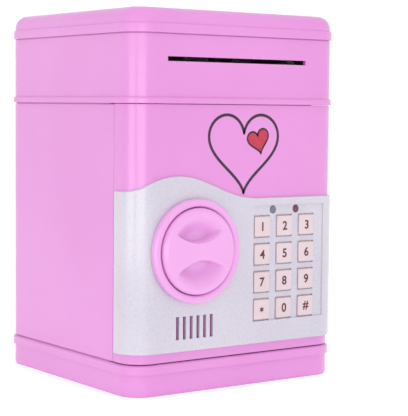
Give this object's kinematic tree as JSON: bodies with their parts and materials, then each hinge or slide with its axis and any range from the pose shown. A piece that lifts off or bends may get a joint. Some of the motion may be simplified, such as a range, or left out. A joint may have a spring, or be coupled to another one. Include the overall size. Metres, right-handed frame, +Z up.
{
  "type": "toy safe coin bank",
  "caption": "Box-shaped toy safe: plinth, case, hinged door with pale faceplate, round knob and number keypad, head with a note slot and feeder, rounded cap.",
  "frame": {"origin": "middle of the underside, on the surface that the bank stands on", "axes": "+Z up, the door and the note slot face -Y, the door's hinge is on the +X side"},
  "size_m": [0.1328, 0.1364, 0.1907],
  "materials": {
    "pink_shell": "glossy moulded ABS, pink",
    "pearl_plate": "satin pearl white moulding",
    "key_plastic": "pinkish white moulding with a printed sign",
    "dark_plastic": "dark matt moulding",
    "pale_plastic": "white inner moulding",
    "steel": "bright steel",
    "rubber": "soft rubber",
    "silicone": "translucent grey rubber",
    "circuit": "green circuit board",
    "cell_wrap": "printed steel can",
    "green_lamp": "smoked lamp lens",
    "red_lamp": "dark red lamp lens",
    "nylon": "natural nylon gear",
    "spring_steel": "bright wire"
  },
  "bodies": {
    "case": {"plinth": "pink_shell", "base_plate": "pale_plastic", "base_screws": "steel", "body_shell": "pink_shell", "strike_plate": "pink_shell", "hinge_pin": "steel", "battery_box": "pale_plastic", "battery_cover": "pink_shell", "battery_screw": "steel", "battery_cell_1": "cell_wrap", "battery_cell_2": "cell_wrap", "battery_cell_3": "cell_wrap", "battery_contacts": "spring_steel", "head_housing": "pink_shell", "top_cap": "pink_shell", "coin_chute": "pale_plastic", "slot_throat": "dark_plastic", "note_guide": "pale_plastic", "left_bracket": "pale_plastic", "right_bracket": "pale_plastic", "feed_motor": "steel"},
    "door": {"door_shell": "pink_shell", "faceplate": "pearl_plate", "knob_ring": "pink_shell", "keypad_board": "circuit", "keypad_mat": "silicone", "ready_lamp": "green_lamp", "alarm_lamp": "red_lamp", "speaker": "dark_plastic", "door_cover": "pale_plastic", "cover_screws": "steel", "lock_solenoid": "steel", "plunger_spring": "spring_steel"},
    "knob_assembly": {"knob": "pink_shell", "lock_cam": "nylon", "latch_tongue": "nylon", "latch_screw": "steel"},
    "plunger": {"lock_plunger": "steel"},
    "feed_roller": {"feed_shaft": "steel", "feed_rollers": "rubber", "feed_gear": "nylon"},
    "pinch_roller": {"pinch_shaft": "steel", "pinch_rollers": "rubber"},
    "motor_rotor": {"motor_pinion": "nylon", "motor_shaft": "steel"},
    "key_1_cap": {"key_1": "key_plastic"},
    "key_2_cap": {"key_2": "key_plastic"},
    "key_3_cap": {"key_3": "key_plastic"},
    "key_4_cap": {"key_4": "key_plastic"},
    "key_5_cap": {"key_5": "key_plastic"},
    "key_6_cap": {"key_6": "key_plastic"},
    "key_7_cap": {"key_7": "key_plastic"},
    "key_8_cap": {"key_8": "key_plastic"},
    "key_9_cap": {"key_9": "key_plastic"},
    "key_star_cap": {"key_star": "key_plastic"},
    "key_0_cap": {"key_0": "key_plastic"},
    "key_hash_cap": {"key_hash": "key_plastic"}
  },
  "joints": [
    {"name": "door_hinge", "type": "hinge", "parent": "case", "child": "door", "pos_m": [0.0618, -0.0462, 0.08], "axis": [0, 0, 1], "range_deg": [0, 95]},
    {"name": "knob_turn", "type": "hinge", "parent": "door", "child": "knob_assembly", "pos_m": [-0.0293, -0.0649, 0.0712], "axis": [0, 1, 0], "range_deg": [0, 90]},
    {"name": "lock_slide", "type": "slide", "parent": "door", "child": "plunger", "axis": [0, 0, -1], "range_m": [0, 0.003], "stiffness_N_per_m": 100, "deforming": ["plunger_spring"]},
    {"name": "feed_spin", "type": "hinge", "parent": "case", "child": "feed_roller", "pos_m": [0, -0.048, 0.1606], "axis": [1, 0, 0], "continuous": true},
    {"name": "pinch_spin", "type": "hinge", "parent": "case", "child": "pinch_roller", "pos_m": [0, -0.048, 0.1699], "axis": [1, 0, 0], "continuous": true},
    {"name": "motor_spin", "type": "hinge", "parent": "case", "child": "motor_rotor", "pos_m": [0.0445, -0.0384, 0.1606], "axis": [1, 0, 0], "continuous": true},
    {"name": "key_1_press", "type": "slide", "parent": "door", "child": "key_1_cap", "axis": [0, 1, 0], "range_m": [0, 0.001], "stiffness_N_per_m": 200},
    {"name": "key_2_press", "type": "slide", "parent": "door", "child": "key_2_cap", "axis": [0, 1, 0], "range_m": [0, 0.001], "stiffness_N_per_m": 200},
    {"name": "key_3_press", "type": "slide", "parent": "door", "child": "key_3_cap", "axis": [0, 1, 0], "range_m": [0, 0.001], "stiffness_N_per_m": 200},
    {"name": "key_4_press", "type": "slide", "parent": "door", "child": "key_4_cap", "axis": [0, 1, 0], "range_m": [0, 0.001], "stiffness_N_per_m": 200},
    {"name": "key_5_press", "type": "slide", "parent": "door", "child": "key_5_cap", "axis": [0, 1, 0], "range_m": [0, 0.001], "stiffness_N_per_m": 200},
    {"name": "key_6_press", "type": "slide", "parent": "door", "child": "key_6_cap", "axis": [0, 1, 0], "range_m": [0, 0.001], "stiffness_N_per_m": 200},
    {"name": "key_7_press", "type": "slide", "parent": "door", "child": "key_7_cap", "axis": [0, 1, 0], "range_m": [0, 0.001], "stiffness_N_per_m": 200},
    {"name": "key_8_press", "type": "slide", "parent": "door", "child": "key_8_cap", "axis": [0, 1, 0], "range_m": [0, 0.001], "stiffness_N_per_m": 200},
    {"name": "key_9_press", "type": "slide", "parent": "door", "child": "key_9_cap", "axis": [0, 1, 0], "range_m": [0, 0.001], "stiffness_N_per_m": 200},
    {"name": "key_star_press", "type": "slide", "parent": "door", "child": "key_star_cap", "axis": [0, 1, 0], "range_m": [0, 0.001], "stiffness_N_per_m": 200},
    {"name": "key_0_press", "type": "slide", "parent": "door", "child": "key_0_cap", "axis": [0, 1, 0], "range_m": [0, 0.001], "stiffness_N_per_m": 200},
    {"name": "key_hash_press", "type": "slide", "parent": "door", "child": "key_hash_cap", "axis": [0, 1, 0], "range_m": [0, 0.001], "stiffness_N_per_m": 200}
  ],
  "couplings": [
    {"joint": "pinch_spin", "follows": "feed_spin", "ratio": -1.25},
    {"joint": "motor_spin", "follows": "feed_spin", "ratio": -2.2}
  ]
}
